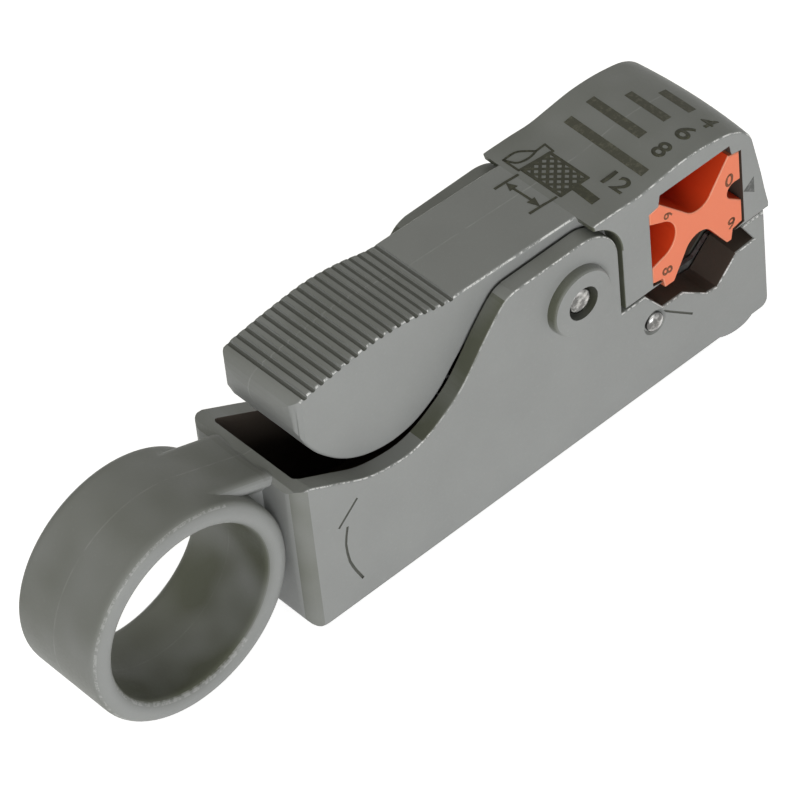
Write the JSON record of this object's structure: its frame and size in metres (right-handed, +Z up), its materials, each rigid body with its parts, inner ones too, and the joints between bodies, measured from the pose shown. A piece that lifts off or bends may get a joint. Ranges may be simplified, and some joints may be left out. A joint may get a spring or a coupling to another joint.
{
  "type": "rotary coaxial cable stripper",
  "caption": "Hand tool that clamps a coaxial cable under a sprung jaw and is spun round it by a finger ring, so that small blades cut the jacket and braid.",
  "frame": {"origin": "middle of the footprint, at the height of the lowest point of the rounded foot", "axes": "+X along the tool from the finger ring to the jaws, +Y across it to the far side, +Z up to the thumb pad"},
  "size_m": [0.1008, 0.0204, 0.0346],
  "materials": {
    "lower_body": "fine satin moulded surface",
    "upper_jaw": "fine satin moulded surface",
    "guide_block": "satin moulded surface",
    "pivot_pin": "bright riveted steel",
    "blade_pin": "bright steel",
    "return_spring": "drawn wire",
    "jacket_blade": "ground steel",
    "core_blade": "ground steel",
    "jacket_screw": "blackened steel",
    "core_screw": "blackened steel"
  },
  "bodies": {
    "body": {"lower_body": "lower_body", "pivot_pin": "pivot_pin", "blade_pin": "blade_pin", "return_spring": "return_spring"},
    "lever": {"upper_jaw": "upper_jaw"},
    "guide": {"guide_block": "guide_block"},
    "jacket_cutter": {"jacket_blade": "jacket_blade"},
    "core_cutter": {"core_blade": "core_blade"},
    "jacket_setting": {"jacket_screw": "jacket_screw"},
    "core_setting": {"core_screw": "core_screw"}
  },
  "joints": [
    {"name": "lever_hinge", "type": "hinge", "parent": "body", "child": "lever", "pos_m": [0.0196, 0, 0.0234], "axis": [0, -1, 0], "range_deg": [0, 15], "stiffness_Nm_per_rad": 0.12, "springref_deg": -28.65, "deforming": ["return_spring"]},
    {"name": "guide_block_slide", "type": "slide", "parent": "lever", "child": "guide", "axis": [0, -1, 0], "range_m": [0, 0.018]},
    {"name": "jacket_blade_tilt", "type": "hinge", "parent": "body", "child": "jacket_cutter", "pos_m": [0.03112, -0.00385, 0.01135], "axis": [0, -1, 0], "range_deg": [-1.7, 3.4]},
    {"name": "core_blade_tilt", "type": "hinge", "parent": "body", "child": "core_cutter", "pos_m": [0.03112, 0.00385, 0.01135], "axis": [0, -1, 0], "range_deg": [-1.7, 3.4]},
    {"name": "jacket_screw_travel", "type": "slide", "parent": "body", "child": "jacket_setting", "axis": [0, 0, 1], "range_m": [-0.0004, 0.0008]},
    {"name": "core_screw_travel", "type": "slide", "parent": "body", "child": "core_setting", "axis": [0, 0, 1], "range_m": [-0.0004, 0.0008]}
  ],
  "couplings": [
    {"joint": "jacket_screw_travel", "follows": "jacket_blade_tilt", "m_per_rad": 0.01328},
    {"joint": "core_screw_travel", "follows": "core_blade_tilt", "m_per_rad": 0.01328}
  ]
}
